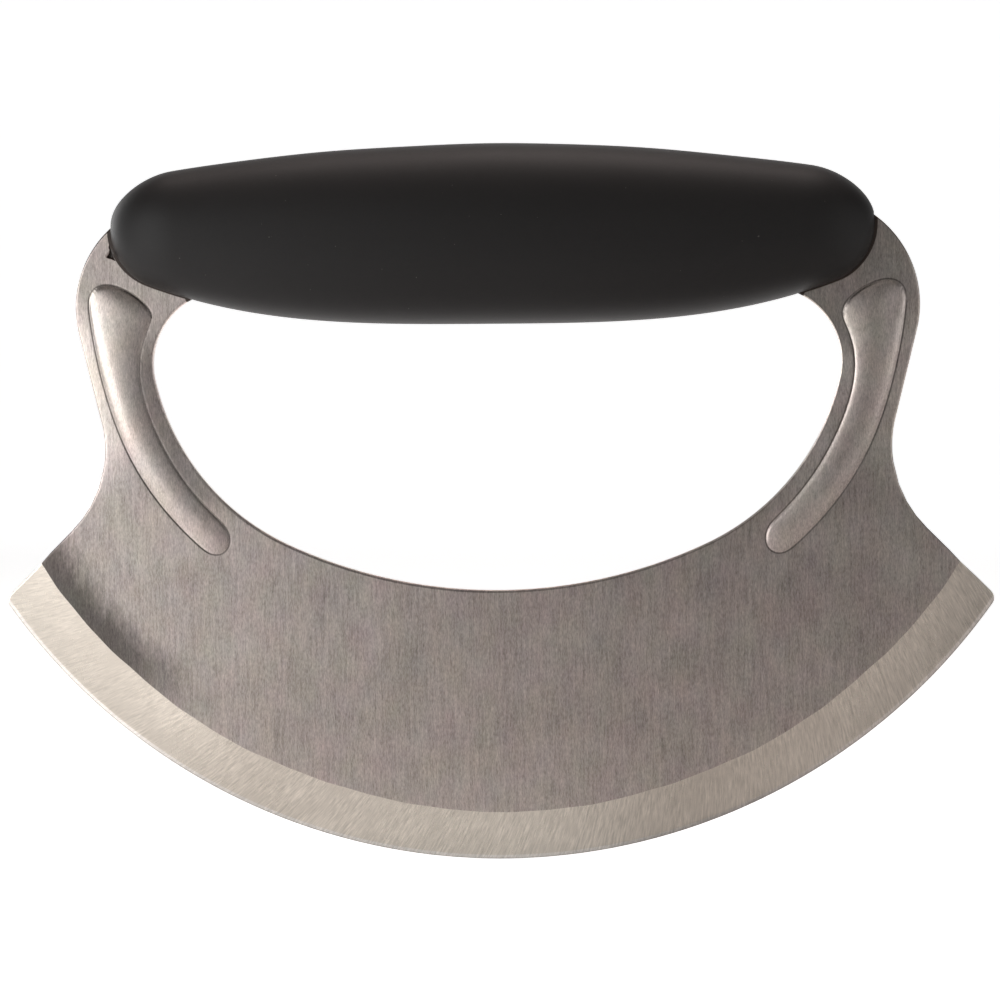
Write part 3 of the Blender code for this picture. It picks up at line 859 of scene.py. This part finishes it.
def brushed_steel():
    """Stainless sheet brushed upright: short streaks from noise stretched along Z, pits
    and clouded tints. Where the mesh's ground mark is positive the steel is the bevel,
    with short scratches at a fixed slant to the spokes of the edge's arc. Painted shade
    darkens the groove round each rib. The opening's edge carries a painted highlight,
    with a painted dark reflection as a line inside it. Painted shade darkens the gap to
    the grip and the nick. The last strip of the cutting edge is darker. On the front a
    painted dark reflection lies above the left end of the grind line."""
    finish = Finish("brushed_stainless", anisotropic=0.4)
    start = finish.start
    where = finish.place()
    ground, foot, rim, seam = (finish.mark(name) for name in ("ground", "foot", "rim", "seam"))
    bevel = ground.rising(-0.02 * MM, 0.02 * MM)
    rib = foot.rising(0.2 * MM, 1.2 * MM)

    fine = finish.noise(where, (1, 1, 0.22), 5200, 3, 0.7)
    long = finish.noise(where, (1, 1, 0.07), 2600, 2, 0.6)
    cloud = finish.noise(where, (1, 1, 0.8), 70, 3, 0.55)
    patch = finish.noise(where, (1, 1, 0.6), 260, 2, 0.6)
    grit = finish.noise(where, (1, 1, 0.6), 2900, 2, 0.55)
    mottle = finish.noise(where, (1, 1, 0.35), 900, 3, 0.6)
    pits = grit.rising(0.32, 0.26)
    specks = grit.rising(0.68, 0.76)

    parts = start.node("SeparateXYZ", {}, {0: where})
    across, depth, height = (parts.out(axis) for axis in "XYZ")
    upright = height - EDGE_RADIUS
    turn = start.math("ARCTAN2", upright, across)
    radius = (across * across + upright * upright) ** 0.5
    micro = (radius - EDGE_RADIUS + MICRO_WIDTH).rising(-0.05 * MM, 0.05 * MM)
    spoke = start.node("CombineXYZ", inputs={0: turn * EDGE_RADIUS, 1: depth, 2: radius})
    slanted = start.node("Mapping", {}, {"Vector": spoke, "Rotation": (0, math.radians(BEVEL_SLANT), 0)})
    scratches = finish.noise(slanted, (1, 1, 0.09), 3000, 3, 0.65)
    patches = finish.noise(spoke, (1, 1, 1), 160, 2, 0.5)

    streak = (fine - 0.5) * 1.5 + (long - 0.5) * 0.7
    flat_tone = 1 + streak + (cloud - 0.5) * 0.25 + (patch - 0.5) * 0.35 - pits * 0.20 + specks * 0.20
    rib_tone = 1.10 + (mottle - 0.5) * 0.45 + (fine - 0.5) * 1.6 - pits * 0.25
    scratch_depth = (1.15 - turn.rising(-2.0, -2.4) * 0.45) * patches.rising(0.1, 0.6)
    bevel_tone = 1 + (scratches - 0.5) * scratch_depth + (patches - 0.5) * 0.12
    tone = flat_tone + rib * (rib_tone - flat_tone)
    tone = tone + bevel * (bevel_tone - tone)

    front_side = depth.rising(0, -0.1 * MM)
    # Painted dark reflection on the front, above the left end of the grind line.
    near_grind = (ground + (mottle - 0.5) * DARK_REFLECTION_FEATHER).rising(*DARK_REFLECTION_RISE) * (1 - bevel)
    tone = tone * (1 - near_grind * turn.rising(*DARK_REFLECTION_TURN) * front_side * DARK_REFLECTION_DEPTH)
    # Painted shade darkens a thin line in the groove round each rib.
    groove = abs(foot - CREASE_SHADE_AT).rising(0.24 * MM, 0.09 * MM)
    # Painted dark reflection: a darker line just inside the opening's edge, deeper low down.
    painted_edge_reflection = abs(rim - EDGE_REFLECTION_AT).rising(0.20 * MM, 0.06 * MM)
    edge_reflection_depth = 0.12 + height.rising(80 * MM, 66 * MM) * 0.28
    # Painted highlight along the opening's edge.
    painted_edge_highlight = rim.rising(0.34 * MM, 0.20 * MM)
    # The last strip of the cutting edge is darker.
    dark_edge_band = (radius - EDGE_RADIUS + DARK_EDGE_WIDTH).rising(0, 0.08 * MM)
    tone = tone * (1 - groove * 0.52) * (1 - painted_edge_reflection * edge_reflection_depth)
    tone = tone * (1 + painted_edge_highlight * 0.60) * (1 - dark_edge_band * 0.30)

    tint = finish.noise(where, (1, 1, 0.7), 150, 2, 0.6, output=1)
    steel = start.node("Mix", {"data_type": "RGBA", "blend_type": "OVERLAY"},
                       {0: 0.07, 6: STEEL_COLOUR, 7: tint}, 2)
    colour = tone.tinted(bevel.mix(steel, micro.mix(GROUND_COLOUR, EDGE_COLOUR)))

    # Painted shade: a dark line along the gap where the plate enters the grip, wider at the upper left
    # and near the opening.
    outer_left = height.rising(117 * MM, 125 * MM) * across.rising(-73 * MM, -77 * MM)
    gap_shade_width = GAP_SHADE_WIDTH + outer_left * GAP_SHADE_LEFT + rim.rising(0.9 * MM, 0) * GAP_SHADE_CORNER
    painted_gap_shade = (gap_shade_width - seam).rising(-0.08 * MM, 0.08 * MM)
    # Painted shade in the nick's recess.
    nick = depth.rising(-0.96 * MM, -0.90 * MM) * height.rising(123 * MM, 123.5 * MM)
    dark = start.math("MAXIMUM", painted_gap_shade, nick * across.rising(-78 * MM, -78.5 * MM) * front_side)
    finish.set(base_color=dark.mix(colour, GAP_SHADE_COLOUR), metallic=1 - dark)

    finish.set(roughness=0.32 + (cloud - 0.5) * 0.10 + (fine - 0.5) * 0.12 + rib * 0.04 - bevel * 0.03)
    grain = fine * 0.8 + long * 0.4 - pits * 0.6
    relief = grain + rib * (mottle * 1.2 - grain)
    relief = relief + bevel * (scratches - relief)
    finish.set(normal=finish.bump(relief, 0.02 * MM, 0.5))
    return finish.material


blade_plate.data.materials.append(brushed_steel())
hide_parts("blade_plate")
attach(blade_plate, "root")


# Core halves and press rivets
# Two moulded plastic halves clamp the bar, and three two-piece steel rivets hold them
# together. All of it is sealed inside the grip, and the solids keep their own shapes.
CORE_COLOUR = (0.06, 0.06, 0.065)
RIVET_COLOUR = (0.5, 0.49, 0.47)


def moulded_plastic():
    """Plain black moulding with a fine spark texture and faint flow marks."""
    finish = Finish("moulded_core_plastic", metallic=0.0)
    where = finish.place()
    flow = finish.noise(where, (0.3, 1, 1), 60, 3, 0.5)
    spark = finish.noise(where, (1, 1, 1), 3500, 2, 0.6)
    finish.set(base_color=(0.85 + flow * 0.3).tinted(CORE_COLOUR), roughness=0.5 + (flow - 0.5) * 0.15)
    finish.set(normal=finish.bump(spark, 0.02 * MM, 0.4))
    return finish.material


def turned_steel():
    """Stainless with the fine rings of turning round each rivet's axis."""
    finish = Finish("turned_stainless", metallic=1.0)
    where = finish.place()
    rings = finish.noise(where, (0.3, 1, 0.3), 3000, 2, 0.5)
    finish.set(base_color=(0.9 + rings * 0.2).tinted(RIVET_COLOUR), roughness=0.25 + rings * 0.12)
    finish.set(normal=finish.bump(rings, 0.01 * MM, 0.3))
    return finish.material


core_plastic = moulded_plastic()
rivet_steel = turned_steel()
for name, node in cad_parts.items():
    if "core_half" in name or "rivet" in name:
        node.data.materials.clear()
        node.data.materials.append(core_plastic if "core_half" in name else rivet_steel)


# Grip skin
# A matte black soft-touch elastomer moulded 3 mm thick over the core. It is one piece,
# without a seam, and the arms of the plate enter it through two slots.
SOFT_COLOUR = (0.0078, 0.0070, 0.0070)
DUST_COLOUR = (0.12, 0.11, 0.10, 1)
GAP = 0.3 * MM
ROOM_SIDE_START = 0.42
ROOM_OPENING_START = 0.47
CROWN_LUMPS = ((0.05 * MM, 95, 0.3), (0.04 * MM, 190, 1.7))


def grip_shell(inset, steps_along, steps_round):
    """Places and faces of the closed surface inset from the grip's outside. Each
    section across X is a superellipse between the crown curve and the belly curve,
    and the sections close to a point at each end."""
    half_length = GRIP_HALF_LENGTH - inset
    x = half_length * np.sin(np.linspace(-np.pi / 2, np.pi / 2, steps_along + 1))
    lumps = sum(size * (np.sin(count * x + shift) - 1) for size, count, shift in CROWN_LUMPS)
    crown, belly = grip_outline(x, half_length, inset)
    crown = crown + lumps * end_round(x, CROWN_ROUND, half_length, CROWN_POWER)
    thinner = GRIP_END_THINNING * (np.abs(x) / GRIP_HALF_LENGTH) ** THINNING_POWER
    thick = (GRIP_HALF_THICKNESS - thinner - inset) * end_round(x, PLAN_ROUND, half_length, PLAN_POWER)
    middle = GRIP_END_HEIGHT + (crown + belly) / 2
    tall = (crown - belly) / 2
    turn = np.linspace(0, 2 * np.pi, steps_round, endpoint=False)
    bent = lambda wave: np.sign(wave) * np.abs(wave) ** (2 / SECTION_POWER)
    inner = slice(1, -1)
    rings = np.stack([np.broadcast_to(x[inner, None], (steps_along - 1, steps_round)),
                      thick[inner, None] * bent(np.cos(turn)),
                      middle[inner, None] + tall[inner, None] * bent(np.sin(turn))], -1)
    ends = [(side * half_length, 0, GRIP_END_HEIGHT) for side in (-1, 1)]
    places = np.vstack([rings.reshape(-1, 3), ends])
    index = np.arange((steps_along - 1) * steps_round).reshape(-1, steps_round)
    ahead = np.roll(index, -1, 1)
    body = np.stack([index[:-1], index[1:], ahead[1:], ahead[:-1]], -1).reshape(-1, 4)
    poles = np.full(steps_round, index.size)
    left = np.stack([index[0], ahead[0], poles, poles], 1)
    right = np.stack([ahead[-1], index[-1], poles + 1, poles + 1], 1)
    return places, np.vstack([body, left, right])


def plate_room():
    """The space round the arms and the bar inside the grip: a rectangle, GAP clear of
    the sheet on all sides, carried along the loop from one arm over to the other."""
    edges = []
    for path, start, way in ((side_path, ROOM_SIDE_START, 1), (opening_path, ROOM_OPENING_START, -1)):
        share = np.linspace(start, 1, 160)
        edge = at(path, share) + way * GAP * outward(path, share)
        edge[-1, 0] = 0
        edges.append(np.vstack([edge, edge[-2::-1] * np.array([-1, 1])]))
    outer, inner = edges
    y = SHEET / 2 + GAP
    corners = ((inner, -y), (outer, -y), (outer, y), (inner, y))
    places = np.stack([np.insert(edge, 1, level, axis=1) for edge, level in corners], 1)
    index = np.arange(len(outer) * 4).reshape(-1, 4)
    ahead = np.roll(index, -1, 1)
    tube = np.stack([index[:-1], ahead[:-1], ahead[1:], index[1:]], -1).reshape(-1, 4)
    faces = np.vstack([tube, index[:1, ::-1], index[-1:]])
    return places.reshape(-1, 3), faces


def soft_touch():
    """Matte black elastomer: a fine moulded grain, faint cloudy wear in its sheen and a
    few pale specks of dust."""
    finish = Finish("soft_black_elastomer", metallic=0.0, specular_ior_level=0.35)
    where = finish.place()
    cloud = finish.noise(where, (0.6, 1, 1), 45, 3, 0.5)
    grain = finish.noise(where, (1, 1, 1), 3200, 2, 0.55)
    dust = finish.noise(where, (1, 1, 1), 1500, 1, 0.5).rising(0.80, 0.84)
    colour = (0.7 + cloud * 0.6).tinted(SOFT_COLOUR)
    finish.set(base_color=(dust * 0.5).mix(colour, DUST_COLOUR))
    finish.set(roughness=0.58 + (cloud - 0.5) * 0.14 + (grain - 0.5) * 0.1)
    finish.set(normal=finish.bump(grain, 0.02 * MM, 0.35))
    return finish.material


outside_places, outside_faces = grip_shell(0, 220, 128)
outside_places[:, 0] *= (GRIP_RIGHT_END - GRIP_LEFT_END) / (2 * GRIP_HALF_LENGTH)
outside_places[:, 0] += (GRIP_LEFT_END + GRIP_RIGHT_END) / 2
hollow_places, hollow_faces = grip_shell(SKIN - GAP, 72, 48)
room_places, room_faces = plate_room()
grip_skin = add_mesh("soft_grip_skin", outside_places, facing_out(outside_places, outside_faces))
cut(grip_skin,
    add_mesh("grip_hollow", hollow_places, facing_out(hollow_places, hollow_faces)),
    add_mesh("plate_room", room_places, facing_out(room_places, room_faces)))
grip_skin.data.set_sharp_from_angle(angle=math.radians(40))
grip_skin.data.materials.append(soft_touch())
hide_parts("grip_skin")
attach(grip_skin, "root")


# Floor and backdrop
# A pale sweep under and behind the knife, white to the camera and in reflections, which
# still takes the knife's shadow.
FLOOR_HALF = 2.2
FLOOR_FRONT = -1.5
FLOOR_BACK = 1.8
SWEEP_RADIUS = 0.3
WALL_HEIGHT = 1.8


def sweep_cloth():
    """A sheet along X whose profile runs flat over the floor, round a quarter circle
    and up the wall."""
    turn = np.linspace(-np.pi / 2, 0, 17)
    profile = np.vstack([[(FLOOR_FRONT, 0)],
                         np.stack([FLOOR_BACK + SWEEP_RADIUS * np.cos(turn),
                                   SWEEP_RADIUS + SWEEP_RADIUS * np.sin(turn)], 1),
                         [(FLOOR_BACK + SWEEP_RADIUS, WALL_HEIGHT)]])
    places = np.stack([np.insert(profile, 0, side * FLOOR_HALF, axis=1) for side in (-1, 1)])
    count = len(profile)
    k = np.arange(count - 1)
    faces = np.stack([k, k + count, k + count + 1, k + 1], 1)
    return places.reshape(-1, 3), faces


def white_sweep():
    """Matt white, with a glow that brings it to white for the camera where no shadow
    falls. Metal sees the backdrop white too. On the floor in front of the knife it
    sees more glow towards the left, so the steel gets darker from left to right."""
    finish = Finish("white_sweep", metallic=0.0, roughness=0.9, base_color=(0.8, 0.8, 0.8, 1))
    start = finish.start
    rays = start.node("LightPath")
    seen = rays.out("Is Camera Ray")
    mirrored = start.math("MAXIMUM", rays.out("Is Glossy Ray"), rays.out("Is Transmission Ray"))
    parts = start.node("SeparateXYZ", {}, {0: finish.place()})
    across, depth = (parts.out(axis) for axis in "XY")
    left = across.rising(-0.07, -0.11)
    middle = across.rising(0.05, 0) - left
    near = depth.rising(-0.05, -0.03)
    mid = depth.rising(-0.14, -0.10)
    far = across.rising(-0.12, -0.16) * depth.rising(-0.60, -0.45) * (1 - mid)
    floor = left * (mid * 0.64 + 0.26 + far * 0.1) + middle * (mid * 0.22 + near * 0.14)
    level = floor * depth.rising(0.05, 0.01) + depth.rising(0.01, 0.05) * 0.95
    strength = seen * (0.78 + depth.rising(0.6, 1.6) * 0.16) + mirrored * level
    glow = start.node("Emission", {}, {"Color": (1, 1, 1, 1), "Strength": strength})
    both = start.node("AddShader", {}, {0: Field(start.tree, finish.surface.outputs[0]), 1: glow})
    start.tree.links.new(both.socket, start.tree.nodes["Material Output"].inputs["Surface"])
    return finish.material


sweep_places, sweep_faces = sweep_cloth()
floor = add_mesh("floor_sweep", sweep_places, sweep_faces)
floor.data.materials.append(white_sweep())


# Studio light
# Soft boxes round the knife, most of them on the left, each placed by its azimuth from
# straight in front, its height angle and its distance. The room beyond is nearly dark.
LAMPS = (
    ("front_left", -20, 8, 0.45, (0.15, 0.25), 0.090, (1, 1, 1)),
    ("near_left", -35, 8, 0.45, (0.15, 0.25), 0.112, (1, 1, 1)),
    ("left", -55, 8, 0.45, (0.20, 0.25), 0.65, (1, 1, 1)),
    ("low_left", -30, -2, 0.90, (0.40, 0.10), 0.035, (1, 1, 1)),
    ("back_left", -125, 8, 0.90, (0.40, 0.50), 3.2, (1, 1, 1)),
    ("front_right", 20, 8, 0.90, (0.20, 0.50), 0.22, (1, 1, 1)),
    ("right", 60, 8, 0.45, (0.20, 0.25), 0.173, (1, 1, 1)),
    ("far_right", 80, 8, 0.90, (0.40, 0.50), 0.5, (1, 1, 1)),
    ("high_front", 0, 45, 0.80, (0.70, 0.40), 0.25, (1, 0.92, 0.88)),
    ("overhead", 0, 95, 0.80, (0.70, 0.40), 3.5, (1, 0.88, 0.84)),
    ("high_back", 0, 115, 0.80, (0.70, 0.40), 0.5, (1, 0.88, 0.84)),
)
LAMP_AIM = Vector((0, 0, 70)) * MM
ROOM_LEVEL = 0.035

for name, side, rise, distance, size, power, colour in LAMPS:
    lamp = bpy.data.lights.new(name, "AREA")
    lamp.shape = "RECTANGLE"
    lamp.size, lamp.size_y = size
    lamp.energy = power
    lamp.color = colour
    side = math.radians(side)
    rise = math.radians(rise)
    way = Vector((math.sin(side) * math.cos(rise), -math.cos(side) * math.cos(rise), math.sin(rise)))
    holder = bpy.data.objects.new(name, lamp)
    holder.location = LAMP_AIM + way * distance
    holder.rotation_euler = (-way).to_track_quat("-Z", "Y").to_euler()
    bpy.context.scene.collection.objects.link(holder)

room = bpy.data.worlds.new("studio_room")
room.use_nodes = True
bpy.context.scene.world = room
from_camera = Field(room.node_tree).node("LightPath").out("Is Camera Ray")
background = room.node_tree.nodes["Background"]
room_level = from_camera * (1 - ROOM_LEVEL) + ROOM_LEVEL
room.node_tree.links.new(room_level.socket, background.inputs["Strength"])
background.inputs["Color"].default_value = (1, 1, 1, 1)
